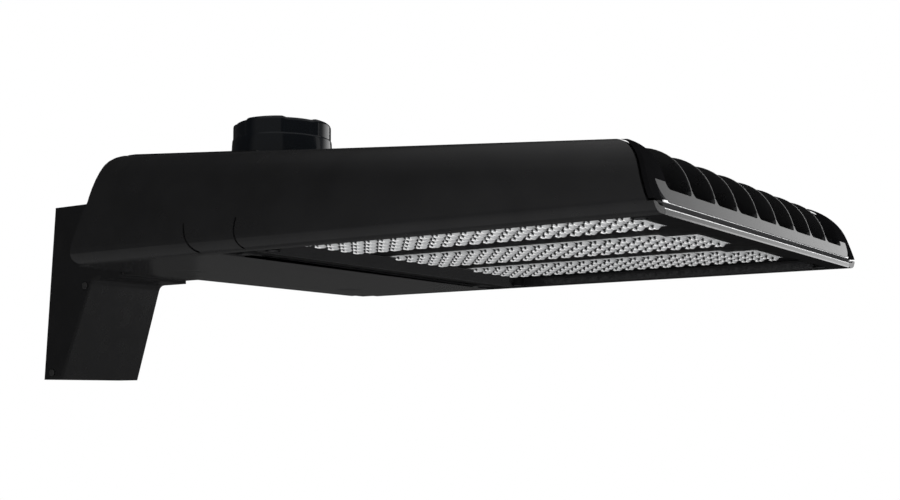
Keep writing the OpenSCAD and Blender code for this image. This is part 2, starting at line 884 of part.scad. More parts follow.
// Side view of the space that the cover and its tabs may fill
module cover_side_view() {
    intersection() {
        polygon(bracket_outline(0));
        translate([back_t + slack, bracket_low - 1])
            square([cover_end_x - slack - back_t - slack, under_z - bracket_low + cover_t + 1]);
    }
}
module cover_screws() {
    color(steel)
        both_sides()
            for (p = cover_screws_at) {
                rod_y(p[0], p[1], 1.55, bracket_half(p[1]) - 9, bracket_half(p[1]) + 0.3);
                rod_y(p[0], p[1], 3, bracket_half(p[1]) + 0.15, bracket_half(p[1]) + 1.5);
            }
}
module neck_gasket() {
    color(rubber)
        difference() {
            block([bracket_len, -neck_half_w, neck_low], [neck_x0, neck_half_w, neck_top]);
            block([bracket_len - 1, -mouth_half_w, under_z + bracket_t + 2],
                  [neck_x0 + 1, mouth_half_w, bracket_top - bracket_t - 2]);
            for (p = joint_bolts_at)
                rod_x(bracket_len - 1, neck_x0 + 1, p[0], p[1], joint_bolt_r + 0.3);
        }
}
module neck_bolts() {
    color(steel)
        for (p = joint_bolts_at) {
            rod_x(bracket_len - flange_t, neck_x0 + 19, p[0], p[1], joint_bolt_r - 0.05);
            rod_x(bracket_len - flange_t - 5, bracket_len - flange_t, p[0], p[1], 5.5, 6);
        }
}
// Screws that join the housing's bulkhead to the heat sink
module bulkhead_bolts() {
    color(steel)
        for (p = bulkhead_bolts_at) {
            rod_x(bay_x1, sink_x0 + 4, p[0], p[1], 2.55);
            rod_x(bay_x1 - 4, bay_x1, p[0], p[1], 4.8);
        }
}
module supply_grommet() {
    color(rubber)
        difference() {
            union() {
                rod_x(head_x, bay_x0, 0, supply_z, supply_r - fit, round_fn);
                rod_x(bay_x0, bay_x0 + 3, 0, supply_z, supply_r + 2, round_fn);
            }
            rod_x(head_x - 1, bay_x0 + 4, 0, supply_z, 4);
        }
}

// ---- Electrical parts in the driver bay -------------------------------------
driver_low = 29;
flange_hole_r = 1.7;
module led_driver() {
    color(driver_white) {
        difference() {
            block([274, -106, driver_low], [336, 56, device_z]);
            for (y = [-107, 48])
                block([273, y, driver_low - 1], [337, y + 9, driver_low + 8]);
        }
        difference() {
            for (y = [-122, 56])
                block([276, y, device_z - 2], [334, y + 16, device_z]);
            device_holes();
        }
    }
}
// Screw holes in the flanges of the devices
module device_holes() {
    for (p = device_pads_at)
        translate([p[0], p[1], device_z - 3])
            cylinder(h = 4, r = flange_hole_r, $fn = small_fn);
}
module driver_screws() {
    color(steel)
        for (p = device_pads_at)
            translate([p[0], p[1], device_z - 4]) {
                cylinder(h = 6, r = 1.55, $fn = small_fn);
                cylinder(h = 2, r = 3.4, $fn = small_fn);
            }
}
module surge_protector() {
    color(cap_black)
        difference() {
            union() {
                block([282, 94, 36], [312, 134, device_z]);
                block([289, 82, device_z - 2], [305, 146, device_z]);
            }
            for (y = [93, 133])
                block([281, y, 35], [313, y + 2, 40]);
            device_holes();
        }
}
module terminal_block() {
    color(driver_white)
        difference() {
            block([bay_x0, -80, 14], [bay_x0 + 18, -38, 34]);
            for (k = [0:2])
                translate([bay_x0 + 9, -73 + k * 14, 10])
                    cylinder(h = 10, r = 4, $fn = small_fn);
            for (k = [0:2])
                rod_x(bay_x0 + 8, bay_x0 + 19, -73 + k * 14, 27, 3);
        }
}
module latch_keepers() {
    color(steel)
        both_sides()
            block([bay_x0, latch_y - 9, seat_z + seat_t], [bay_x0 + seat_in, latch_y + 9, seat_z + seat_t + 1]);
}
module hinge_pins() {
    color(steel)
        both_sides()
            rod_y(hinge_x, hinge_z, hinge_pin_r, hinge_y - ear_w / 2 - lug_w - slack, hinge_y + ear_w / 2 + lug_w + slack);
}

// ---- Driver door -----------------------------------------------------------
door_x0 = bay_x0 + 0.4;
door_half_w = frame_half_w;
latch_head_r = 11;
latch_boss_r = 15;
latch_boss_top = 8.5;
latch_stem_r = 4;
cam_z = seat_z + seat_t + 1.3;
cam_t = 3;
cam_len = 37;
latch_turn = 40;

module driver_door() {
    color(band_paint)
        difference() {
            union() {
                block([door_x0, -door_half_w, 0], [door_x1, door_half_w, door_t]);
                door_stiffeners();
                both_sides() {
                    translate([latch_x, latch_y, 0])
                        cylinder(h = latch_boss_top, r = latch_boss_r, $fn = small_fn);
                    rod_y(hinge_x, hinge_z, lug_r, hinge_y - ear_w / 2, hinge_y + ear_w / 2);
                    block([door_x1 - 4, hinge_y - ear_w / 2, 0.8], [hinge_x, hinge_y + ear_w / 2, hinge_z]);
                }
            }
            both_sides() {
                rod_y(hinge_x, hinge_z, hinge_pin_r + fit, hinge_y - ear_w, hinge_y + ear_w);
                translate([latch_x, latch_y, -1]) {
                    cylinder(h = 20, r = latch_stem_r + fit, $fn = small_fn);
                    cylinder(h = 1 + latch_head_t + 0.3, r = latch_head_r + 0.4, $fn = small_fn);
                }
            }
        }
}
latch_head_t = 3;
module door_stiffeners() {
    for (y = [-120, -60, 0, 60, 120])
        block([door_x0 + 22, y - 1.2, door_t - 1], [door_x1 - 22, y + 1.2, door_t + 3]);
}
module door_gasket() {
    color(rubber)
        difference() {
            block([door_x0 + 1, -bay_half_w + 1, door_t], [door_x1 - 4, bay_half_w - 1, seat_z - 0.1]);
            block([door_x0 + 6, -bay_half_w + 6, door_t - 1], [door_x1 - 9, bay_half_w - 6, seat_z + 1]);
        }
}
// Quarter-turn latch: slotted head outside, cam inside
module latch(y, out) {
    color(band_paint)
        translate([latch_x, y, 0]) {
            difference() {
                union() {
                    translate([0, 0, 0.1])
                        cylinder(h = latch_head_t, r = latch_head_r, $fn = small_fn);
                    cylinder(h = cam_z + cam_t, r = latch_stem_r, $fn = small_fn);
                }
                rotate(latch_turn)
                    block([-8, -1.4, -1], [8, 1.4, 1.8]);
            }
            translate([0, 0, cam_z])
                difference() {
                    union() {
                        cylinder(h = cam_t, r = 8, $fn = small_fn);
                        scale([1, out, 1])
                            block([-5, 0, 0], [5, cam_len, cam_t]);
                    }
                    translate([0, 0, -1])
                        cylinder(h = cam_t + 2, r = latch_stem_r - 1, $fn = small_fn);
                }
        }
}
module latch_left() { latch(-latch_y, -1); }
module latch_right() { latch(latch_y, 1); }

// ---- Receptacle and twist-lock cap -----------------------------------------
receptacle_low = 52;
receptacle_rim_r = 36;
receptacle_top = 88;
ring_t = 2.4;
ring_z = control_hub_low - ring_t - slack;
blade_r = 18;
blade_arc = 34;
blade_slot_arc = 62;
blade_t = 1.6;
cap_low = 90;
cap_wall = 3;
grip_z = 115.5;
lobe_depth = 1.6;
lobe_turn = -7;
lobe_inset = 0.2;
cap_edge = 2.5;

module receptacle_gasket() {
    color(rubber)
        translate([control_x, 0, control_seat])
            difference() {
                cylinder(h = 1.6, r = receptacle_rim_r, $fn = round_fn);
                translate([0, 0, -1])
                    cylinder(h = 4, r = control_bore_r + 0.6, $fn = round_fn);
            }
}
module receptacle() {
    color(cap_black)
        translate([control_x, 0, 0])
            difference() {
                union() {
                    translate([0, 0, receptacle_low])
                        cylinder(h = receptacle_top - receptacle_low, r = control_bore_r, $fn = round_fn);
                    translate([0, 0, control_seat + 1.9])
                        cylinder(h = receptacle_top - control_seat - 1.9, r = receptacle_rim_r, $fn = round_fn);
                }
                for (k = [0:2])
                    rotate(k * 120 - blade_arc / 2 - 2)
                        translate([0, 0, receptacle_top - 16])
                            rotate_extrude(angle = blade_slot_arc, $fn = round_fn)
                                translate([blade_r - 0.5, 0])
                                    square([blade_t + 1, 17]);
                translate([0, 0, ring_z - fit])
                    difference() {
                        cylinder(h = ring_t + 2 * fit, r = control_bore_r + 1, $fn = round_fn);
                        translate([0, 0, -1])
                            cylinder(h = ring_t + 2, r = control_bore_r - 2 - fit, $fn = round_fn);
                    }
            }
}
// Snap ring under the roof that keeps the receptacle in its bore
module receptacle_ring() {
    color(steel)
        translate([control_x, 0, ring_z])
            difference() {
                cylinder(h = ring_t, r = control_bore_r + 3, $fn = round_fn);
                translate([0, 0, -1])
                    cylinder(h = ring_t + 2, r = control_bore_r - 2, $fn = round_fn);
                block([-4, 0, -1], [4, control_bore_r + 6, ring_t + 1]);
            }
}
module control_cap() {
    color(cap_black)
        translate([control_x, 0, 0])
            difference() {
                union() {
                    translate([0, 0, cap_low])
                        cylinder(h = grip_z - cap_low, r1 = cap_r, r2 = cap_top_r, $fn = round_fn);
                    rotate_extrude($fn = round_fn)
                        grip_section(cap_top_r - lobe_depth);
                    for (k = [0:lobes - 1])
                        rotate(k * 360 / lobes + lobe_turn)
                            rotate_extrude(angle = 200 / lobes, $fn = round_fn)
                                grip_section(cap_top_r - lobe_inset);
                }
                translate([0, 0, cap_low + cap_wall + 4])
                    cylinder(h = grip_z - cap_low - cap_wall - 4, r = cap_top_r - 6, $fn = round_fn);
            }
}
// Half section of the grip: its upper edge is rounded off
module grip_section(r) {
    polygon(concat([[0, grip_z - 1], [r, grip_z - 1]],
        arc(r - cap_edge, cap_top - cap_edge, cap_edge, cap_edge, 0, 90, 4),
        [[0, cap_top]]));
}
module cap_blades() {
    color(steel)
        for (k = [0:2])
            translate([control_x, 0, 0])
                rotate(k * 120 - blade_arc / 2)
                    translate([0, 0, receptacle_top - 14])
                        rotate_extrude(angle = blade_arc, $fn = round_fn)
                            translate([blade_r, 0])
                                square([blade_t, cap_low - receptacle_top + 14]);
}
module cap_gasket() {
    color(rubber)
        translate([control_x, 0, receptacle_top + slack])
            difference() {
                cylinder(h = cap_low - receptacle_top - slack, r = 34, $fn = round_fn);
                translate([0, 0, -1])
                    cylinder(h = 4, r = 28, $fn = round_fn);
            }
}

rear_housing();
heat_sink();
cooling_fins();
side_rail_left();
side_rail_right();
nose_bezel();
optic_frame();
optic_gasket();
optic_screws();
lens_strip_left();
lens_strip_centre();
lens_strip_right();
led_board_left();
led_board_centre();
led_board_right();
rail_screws();
pole_bracket();
access_cover();
cover_screws();
neck_gasket();
neck_bolts();
bulkhead_bolts();
supply_grommet();
led_driver();
driver_screws();
surge_protector();
terminal_block();
latch_keepers();
hinge_pins();
driver_door();
door_gasket();
latch_left();
latch_right();
receptacle_gasket();
receptacle();
receptacle_ring();
control_cap();
cap_blades();
cap_gasket();
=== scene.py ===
import json
import math

import bmesh
import bpy
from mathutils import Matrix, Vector


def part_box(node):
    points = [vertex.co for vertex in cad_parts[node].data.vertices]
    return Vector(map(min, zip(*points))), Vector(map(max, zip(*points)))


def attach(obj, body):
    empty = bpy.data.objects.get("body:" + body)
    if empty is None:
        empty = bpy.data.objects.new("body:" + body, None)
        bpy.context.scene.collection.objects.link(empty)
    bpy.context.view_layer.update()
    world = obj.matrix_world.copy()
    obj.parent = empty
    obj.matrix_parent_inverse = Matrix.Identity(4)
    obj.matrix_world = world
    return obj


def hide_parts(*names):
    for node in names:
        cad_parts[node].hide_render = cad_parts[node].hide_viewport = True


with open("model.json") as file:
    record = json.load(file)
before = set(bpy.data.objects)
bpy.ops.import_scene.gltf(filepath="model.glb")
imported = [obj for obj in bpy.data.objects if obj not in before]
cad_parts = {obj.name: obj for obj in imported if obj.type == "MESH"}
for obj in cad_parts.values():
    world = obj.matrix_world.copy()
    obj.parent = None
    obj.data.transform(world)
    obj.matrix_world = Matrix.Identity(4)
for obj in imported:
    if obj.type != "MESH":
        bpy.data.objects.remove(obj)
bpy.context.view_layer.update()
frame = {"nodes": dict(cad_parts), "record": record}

# Shapes are written in millimetres and made in metres
MM = 0.001

# ---- Materials ---------------------------------------------------------------------


def link(tree, a, a_out, b, b_in):
    tree.links.new(a.outputs[a_out], b.inputs[b_in])


def new_node(tree, kind, **values):
    """Node with its settings; a name that isn't a setting of the node is one of its sockets."""
    made = tree.nodes.new(kind)
    for key, value in values.items():
        if hasattr(made, key):
            setattr(made, key, value)
        else:
            made.inputs[key.replace("_", " ")].default_value = value
    return made


def noise(tree, coords, scale, detail):
    tex = new_node(tree, "ShaderNodeTexNoise", Scale=scale, Detail=detail, Roughness=0.55)
    link(tree, coords, "Object", tex, "Vector")
    return tex.outputs["Fac"]


def ranged(tree, source, low, high, start=0.3, end=0.7):
    """Value of a source stretched from start..end to low..high."""
    made = new_node(tree, "ShaderNodeMapRange", From_Min=start, From_Max=end,
                    To_Min=low, To_Max=high)
    tree.links.new(source, made.inputs["Value"])
    return made.outputs["Result"]


# The gloss wanders on a finer pattern than the tone, by this factor
SMEAR_SCALE = 2.3


def finish_of(name, colour, rough, spread=0.05, tone=0.15, tone_scale=40.0, grain=700.0,
              depth=0.02, **sockets):
    """Surface with a mottled tone, an uneven gloss and a fine grain.

    rough is the middle of the roughness and spread how far it wanders. tone is the share by
    which the colour wanders and tone_scale the number of its clouds to a metre. grain is the
    number of bumps to a metre and depth their height in millimetres.
    """
    mat = bpy.data.materials.new(name)
    mat.use_nodes = True
    tree = mat.node_tree
    shader = tree.nodes["Principled BSDF"]
    coords = new_node(tree, "ShaderNodeTexCoord")
    cloud = noise(tree, coords, tone_scale, 3.0)
    ramp = new_node(tree, "ShaderNodeMix", data_type="RGBA")
    ramp.inputs["A"].default_value = (*[c * (1 - tone) for c in colour], 1)
    ramp.inputs["B"].default_value = (*[c * (1 + tone) for c in colour], 1)
    tree.links.new(ranged(tree, cloud, 0, 1), ramp.inputs["Factor"])
    tree.links.new(ramp.outputs["Result"], shader.inputs["Base Color"])
    smear = noise(tree, coords, tone_scale * SMEAR_SCALE, 4.0)
    tree.links.new(ranged(tree, smear, rough - spread, rough + spread), shader.inputs["Roughness"])
    bump = new_node(tree, "ShaderNodeBump", Strength=0.5, Distance=depth * MM)
    tree.links.new(noise(tree, coords, grain, 2.0), bump.inputs["Height"])
    link(tree, bump, "Normal", shader, "Normal")
    for key, value in sockets.items():
        shader.inputs[key.replace("_", " ")].default_value = value
    return mat


FINISHES = {
    "black_paint": dict(colour=(0.0085, 0.0085, 0.009), rough=0.2, spread=0.04, tone=0.12,
                        grain=900.0, depth=0.012),
    "rail_paint": dict(colour=(0.0105, 0.0105, 0.011), rough=0.24, spread=0.04, tone=0.12,
                       grain=900.0, depth=0.012),
    "fin_paint": dict(colour=(0.0065, 0.0065, 0.007), rough=0.3, spread=0.06),
    "underside_paint": dict(colour=(0.0095, 0.0095, 0.01), rough=0.13, spread=0.03, tone=0.08,
                            tone_scale=30.0, grain=900.0, depth=0.006),
    # Darker, nearly matte copy of the underside paint for the optic frame: painted shade over the
    # recess
    "frame_painted_shade": dict(colour=(0.004, 0.004, 0.0043), rough=0.45, tone=0.1, grain=900.0,
                        depth=0.01, Specular_IOR_Level=0.1),
    # Near white, for the strips that are painted highlights on the nose bar and the lip
    "edge_painted_highlight": dict(colour=(0.85, 0.85, 0.86), rough=0.3, tone=0.1, tone_scale=120.0,
                        grain=1500.0, depth=0.005),
    "cover_paint": dict(colour=(0.0118, 0.0118, 0.0122), rough=0.26, spread=0.03, tone=0.06,
                        tone_scale=30.0, grain=900.0, depth=0.006),
    "bezel_gloss": dict(colour=(0.02, 0.02, 0.021), rough=0.14, spread=0.04, tone_scale=60.0,
                        grain=900.0, depth=0.008, Specular_IOR_Level=0.6),
    # Darker, glossless copy of the black paint for the nose casting: painted shade
    "nose_painted_shade": dict(colour=(0.0055, 0.0055, 0.006), rough=0.6, spread=0.06,
                       Specular_IOR_Level=0.0),
    # Matte grey for the sheet in the nose gap: painted light where the gap is in shade
    "gap_painted_light": dict(colour=(0.034, 0.034, 0.035), rough=0.6, spread=0.06,
                      Specular_IOR_Level=0.0),
    "lip_gloss": dict(colour=(0.02, 0.02, 0.021), rough=0.14, spread=0.03, tone_scale=60.0,
                      grain=900.0, depth=0.006, Specular_IOR_Level=1.0),
    "screw_black": dict(colour=(0.02, 0.02, 0.02), rough=0.3, spread=0.06),
    "steel": dict(colour=(0.55, 0.56, 0.58), rough=0.32, spread=0.08, tone=0.1,
                  tone_scale=200.0, grain=2500.0, depth=0.01, Metallic=1.0),
    "brass": dict(colour=(0.72, 0.55, 0.25), rough=0.25, spread=0.07, tone=0.1,
                  tone_scale=150.0, grain=2500.0, depth=0.01, Metallic=1.0),
    "silicone": dict(colour=(0.02, 0.02, 0.02), rough=0.7, spread=0.08, tone=0.2,
                     tone_scale=120.0, grain=1500.0, depth=0.03),
    "lens_clear": dict(colour=(0.42, 0.425, 0.43), rough=0.12, spread=0.04, tone=0.12,
                       tone_scale=400.0, grain=300.0, IOR=1.49, Coat_Weight=0.3),
    # Near white for the lens tips: painted highlight
    "lens_tip_painted_highlight": dict(colour=(0.93, 0.93, 0.93), rough=0.12, spread=0.04, tone=0.03,
                     tone_scale=400.0, grain=300.0, IOR=1.49, Coat_Weight=0.3),
    # Dark spots painted on the lenses
    "lens_painted_spot": dict(colour=(0.012, 0.012, 0.012), rough=0.4, tone=0.4, tone_scale=300.0,
                      Specular_IOR_Level=0.2),
    "board_white": dict(colour=(0.85, 0.85, 0.82), rough=0.35, spread=0.06, tone=0.03),
    "driver_case": dict(colour=(0.62, 0.62, 0.61), rough=0.38, spread=0.08, tone=0.06,
                        tone_scale=60.0, grain=1800.0, Metallic=0.9),
    "terminal_plastic": dict(colour=(0.7, 0.7, 0.66), rough=0.45, spread=0.06, tone=0.05),
    "latch_metal": dict(colour=(0.019, 0.019, 0.0195), rough=0.18, spread=0.04),
    "cap_plastic": dict(colour=(0.0045, 0.0058, 0.0078), rough=0.13, spread=0.03, tone=0.1,
                        tone_scale=60.0, grain=500.0, depth=0.004),
}
MATERIALS = {name: finish_of(name, **values) for name, values in FINISHES.items()}

# ---- Pieces made from the CAD solids -----------------------------------------------

# node: (material, slot of the record, bevel in millimetres)
SOLIDS = {
    "rear_housing": ("black_paint", "black_paint", 0.8),
    # The nose casting takes the darker, glossless black as painted shade
    "heat_sink": ("nose_painted_shade", "black_paint", 0.5),
    "cooling_fins": ("fin_paint", "black_paint", 0.5),
    "side_rail_left": ("rail_paint", "black_paint", 0.7),
    "side_rail_right": ("rail_paint", "black_paint", 0.7),
    "nose_bezel": ("bezel_gloss", "bezel_gloss", 0.9),
    # The optic frame takes the darker copy of its underside paint as painted shade
    "optic_frame": ("frame_painted_shade", "underside_paint", 0.9),
    "optic_gasket": ("silicone", "silicone", 0.3),
    "optic_screws": ("steel", "steel", 0.3),
    "led_board_left": ("board_white", "board_white", 0.1),
    "led_board_centre": ("board_white", "board_white", 0.1),
    "led_board_right": ("board_white", "board_white", 0.1),
    "rail_screws": ("steel", "steel", 0.3),
    "pole_bracket": ("black_paint", "black_paint", 0.8),
    "access_cover": ("cover_paint", "cover_paint", 0.8),
    "cover_screws": ("screw_black", "screw_black", 0.3),
    "neck_gasket": ("silicone", "silicone", 0.3),
    "neck_bolts": ("steel", "steel", 0.4),
    "bulkhead_bolts": ("steel", "steel", 0.4),
    "supply_grommet": ("silicone", "silicone", 0.5),
    "led_driver": ("driver_case", "driver_case", 0.8),
    "driver_screws": ("steel", "steel", 0.3),
    "surge_protector": ("cap_plastic", "cap_plastic", 0.8),
    "terminal_block": ("terminal_plastic", "terminal_plastic", 0.5),
    "latch_keepers": ("steel", "steel", 0.2),
    "hinge_pins": ("steel", "steel", 0.3),
    "driver_door": ("underside_paint", "underside_paint", 0.6),
    "door_gasket": ("silicone", "silicone", 0.3),
    "latch_left": ("latch_metal", "latch_metal", 0.4),
    "latch_right": ("latch_metal", "latch_metal", 0.4),
    "receptacle_gasket": ("silicone", "silicone", 0.3),
    "receptacle": ("cap_plastic", "cap_plastic", 0.5),
    "receptacle_ring": ("steel", "steel", 0.3),
    "cap_blades": ("brass", "brass", 0.2),
    "cap_gasket": ("silicone", "silicone", 0.3),
}
BODY_OF = {n: b for b, nodes in frame["record"]["behaviour"]["bodies"].items() for n in nodes}
# Edges sharper than this many degrees are rounded
SHARP = 28.0
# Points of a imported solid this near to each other, in millimetres, are one point, and faces
# that meet flatter than this many degrees are one face
SEAM = 0.002
FLAT = 0.8


def add_object(name, mesh, *materials):
    made = bpy.data.objects.new(name, mesh)
    bpy.context.scene.collection.objects.link(made)
    for mat in materials:
        mesh.materials.append(mat)
    return made


def mesh_of(name, verts, faces, marks=None):
    """Smooth mesh from points in millimetres; marks gives each face its material index."""
    mesh = bpy.data.meshes.new(name)
    mesh.from_pydata([[c * MM for c in v] for v in verts], [], faces)
    if marks:
        mesh.polygons.foreach_set("material_index", marks)
    for face in mesh.polygons:
        face.use_smooth = True
    mesh.validate()
    return mesh


def soften(piece, bevel):
    """Rounds the sharp edges of a piece and shades it smooth."""
    for face in piece.data.polygons:
        face.use_smooth = True
    round_off = piece.modifiers.new("round_off", "BEVEL")
    round_off.width = bevel * MM
    round_off.segments = 2
    round_off.limit_method = "ANGLE"
    round_off.angle_limit = math.radians(SHARP)
    round_off.harden_normals = True
    even = piece.modifiers.new("even", "WEIGHTED_NORMAL")
    even.keep_sharp = True


def stands_for(piece, node):
    """Lets a piece ride where the node rides, in its place."""
    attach(piece, BODY_OF[node])
    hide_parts(node)


def box_mm(node):
    """Lowest and highest corner of a node in millimetres."""
    return [[c / MM for c in corner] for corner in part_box(node)]


def cleaned(mesh):
    """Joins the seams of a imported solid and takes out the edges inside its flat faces."""
    work = bmesh.new()
    work.from_mesh(mesh)
    bmesh.ops.remove_doubles(work, verts=work.verts, dist=SEAM * MM)
    bmesh.ops.dissolve_limit(work, angle_limit=math.radians(FLAT), verts=work.verts,
                             edges=work.edges)
    out = bpy.data.meshes.new(mesh.name + "_skin")
    work.to_mesh(out)
    work.free()
    return out


def skin(node):
    mat, slot, bevel = SOLIDS[node]
    piece = add_object(node + "_skin", cleaned(frame["nodes"][node].data), MATERIALS[mat])
    soften(piece, bevel)
    stands_for(piece, node)
    return piece


skins = {node: skin(node) for node in SOLIDS}

# ---- Trim on the nose and round the optics -----------------------------------------

# The trim is placed from the optic frame: its front and rear in x, its half width in y and
# its underside in z
(FRAME_REAR, _, FRAME_UNDER), (FRAME_FRONT, FRAME_HALF_W, _) = box_mm("optic_frame")
# A matte grey sheet in the gap between the nose bar and the lip of the frame, its grey painted
# light in the shaded gap: how far it lies behind the front, its half width, its height over the
# underside, and the lower edge and length of its thinner ends
BAND_BACK = (4.3, 1.4)
BAND_HALF_W = FRAME_HALF_W - 0.6
BAND_UP = (4.3, 7.3)
BAND_END_UP = 5.9
BAND_END_W = 7.0
# Sections of the white strips painted as highlights under the bar and on top of the lip: back
# from the front, and up from the underside
HIGHLIGHT_HALF_W = FRAME_HALF_W - 0.1
BAR_HIGHLIGHT = [(0.28, 8.0), (0.8, 6.95), (1.6, 6.95), (1.6, 8.0)]
LIP_HIGHLIGHT = [(0.05, 3.05), (0.05, 3.45), (0.4, 3.8), (1.3, 3.8), (1.3, 3.05)]
# Section of the sloped plate behind the lens windows: forwards from the rear, and up
SLOPE_HALF_W = FRAME_HALF_W - 5.6
REAR_SLOPE = [(21.9, 7.2), (21.9, 7.9), (2.5, 7.9), (2.5, 0.3), (10.0, 0.3)]
# Upright flanges of the frame along the rails: their ends from the rear and from the front,
# their thickness, the gap outside them, and their height over the underside
FLANGE_ENDS = (8.0, 15.0)
FLANGE_T = 2.7
FLANGE_GAP = 0.2
FLANGE_UP = (0.4, 7.8)
# The glossy lip reaches this far back from the front, and this far up
LIP_BACK = 5.0
LIP_UP = 3.2
# Bevels
BLOCK_BEVEL = 0.2
STRIP_BEVEL = 0.12


def add_trim(name, verts, faces, mat, bevel):
    piece = add_object(name, mesh_of(name, verts, faces), MATERIALS[mat])
    soften(piece, bevel)
    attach(piece, "fixture")


def add_blocks(name, blocks, mat):
    """Boxes as one piece, each given by its lowest and highest corner."""
    verts, faces = [], []
    for (x0, y0, z0), (x1, y1, z1) in blocks:
        first = len(verts)
        verts += [(x, y, z) for z in (z0, z1)
                  for x, y in ((x0, y0), (x1, y0), (x1, y1), (x0, y1))]
        sides = [(k, (k + 1) % 4, 4 + (k + 1) % 4, 4 + k) for k in range(4)]
        faces += [tuple(first + c for c in face) for face in [(3, 2, 1, 0), (4, 5, 6, 7)] + sides]
    add_trim(name, verts, faces, mat, BLOCK_BEVEL)


def add_strip(name, section, half_w, mat):
    """Strip along Y with one section, given in x and z."""
    count = len(section)
    verts = [(x, y, z) for y in (-half_w, half_w) for x, z in section]
    faces = [tuple(range(count)), tuple(reversed(range(count, 2 * count)))]
    faces += [(k, count + k, count + (k + 1) % count, (k + 1) % count) for k in range(count)]
    add_trim(name, verts, faces, mat, STRIP_BEVEL)


def both_sides(x, y, width, z):
    """Two blocks, one on each side of the middle, from y outwards."""
    return [((x[0], start, z[0]), (x[1], start + width, z[1])) for start in (-y - width, y)]


def from_front(section):
    """Section in x and z, from one given back from the frame's front and up."""
    return [(FRAME_FRONT - back, FRAME_UNDER + up) for back, up in section]


def from_rear(section):
    """Section in x and z, from one given forwards from the frame's rear and up."""
    return [(FRAME_REAR + ahead, FRAME_UNDER + up) for ahead, up in section]


def painted_gap_sheet():
    """Blocks of the grey sheet painted as light in the nose gap: its middle and two thinner ends.
    """
    x0, x1 = [FRAME_FRONT - back for back in BAND_BACK]
    z0, z1 = [FRAME_UNDER + up for up in BAND_UP]
    ends = both_sides((x0, x1), BAND_HALF_W, BAND_END_W, (FRAME_UNDER + BAND_END_UP, z1))
    return [((x0, -BAND_HALF_W, z0), (x1, BAND_HALF_W, z1))] + ends


def flanges():
    """Blocks of the upright flanges along the two rails."""
    x = (FRAME_REAR + FLANGE_ENDS[0], FRAME_FRONT - FLANGE_ENDS[1])
    z = [FRAME_UNDER + up for up in FLANGE_UP]
    return both_sides(x, FRAME_HALF_W - FLANGE_GAP - FLANGE_T, FLANGE_T, z)


def gloss_lip():
    """Gives the front face of the optic frame's lip its own, glossier finish."""
    mesh = skins["optic_frame"].data
    mesh.materials.append(MATERIALS["lip_gloss"])
    for face in mesh.polygons:
        faces_front = face.normal.x > 0.5
        if (faces_front and face.center.x > (FRAME_FRONT - LIP_BACK) * MM
                and face.center.z < (FRAME_UNDER + LIP_UP) * MM):
            face.material_index = 1


# Grey sheet in the shaded gap at the nose: painted light
add_blocks("nose_gap_painted_light", painted_gap_sheet(), "gap_painted_light")
# White strips painted as highlights along the bar's lower edge and the lip's top edge
add_strip("bar_painted_highlight", from_front(BAR_HIGHLIGHT), HIGHLIGHT_HALF_W, "edge_painted_highlight")
add_strip("lip_painted_highlight", from_front(LIP_HIGHLIGHT), HIGHLIGHT_HALF_W, "edge_painted_highlight")
add_strip("frame_rear", from_rear(REAR_SLOPE), SLOPE_HALF_W, "underside_paint")
add_blocks("frame_sides", flanges(), "underside_paint")
gloss_lip()

# ---- Lens strips -------------------------------------------------------------------

STRIPS = ("lens_strip_left", "lens_strip_centre", "lens_strip_right")
# A strip's flange beyond its window, and the underside of its plate over its lowest point
STRIP_FLANGE = 3
PLATE_LIFT = 2.2
PLATE_T = 2.6
# Places and sizes on a lens are shares of its half pitch. The rows fill a window but for a
# tenth of a row.
LENS_PITCH = 10.8
LENS_ROWS = 5
STRIP_LOW, STRIP_HIGH = box_mm(STRIPS[0])
LENS_ROW_PITCH = (STRIP_HIGH[1] - STRIP_LOW[1] - 2 * STRIP_FLANGE) / (LENS_ROWS + 0.1)
LENS_SAG = 2.6
LENS_BASE = 0.9
# Faces of a lens along x and y
LENS_STEPS = (14, 12)
LENS_SINK = 0.05
# The first row is shorter by this many lenses, because of the notch at the nose
ROW_CUT = 2
NOTCH = (24, 13)
LOBE_AT = 0.3
LOBE_SIZE = (0.3, 0.88)
LOBE_POWER = 1.3
# A lens is painted white as a highlight where it is deeper than this share of its greatest depth
TIP_FROM = 0.80
# Dark spots painted on the outside of a lens, for the dark look that light gives it within:
# middles, half size, corners, and the share of the half size at which their inner ring of
# points lies
SPOTS = [(u, v) for u in (-LOBE_AT, LOBE_AT) for v in (-0.70, 0.70)]
SPOT_HALF = (0.25, 0.21)
SPOT_SIDES = 10
SPOT_RING = 0.55
SPOT_LIFT = 0.08
# Materials of a strip, and their indices
STRIP_MATERIALS = ("lens_clear", "lens_painted_spot", "lens_tip_painted_highlight")
CLEAR, SPOT, TIP = range(3)


def lens_depth(u, v):
    """Depth of a lens under the plate: a low pad with two long lobes side by side."""
    depth = LENS_BASE * math.sqrt(max(0.0, 1 - (u * u + v * v) ** 2))
    for at in (-LOBE_AT, LOBE_AT):
        off = ((u - at) / LOBE_SIZE[0]) ** 2 + (v / LOBE_SIZE[1]) ** 2
        depth = max(depth, LENS_SAG * math.sqrt(max(0.0, 1 - off ** LOBE_POWER)))
    return depth


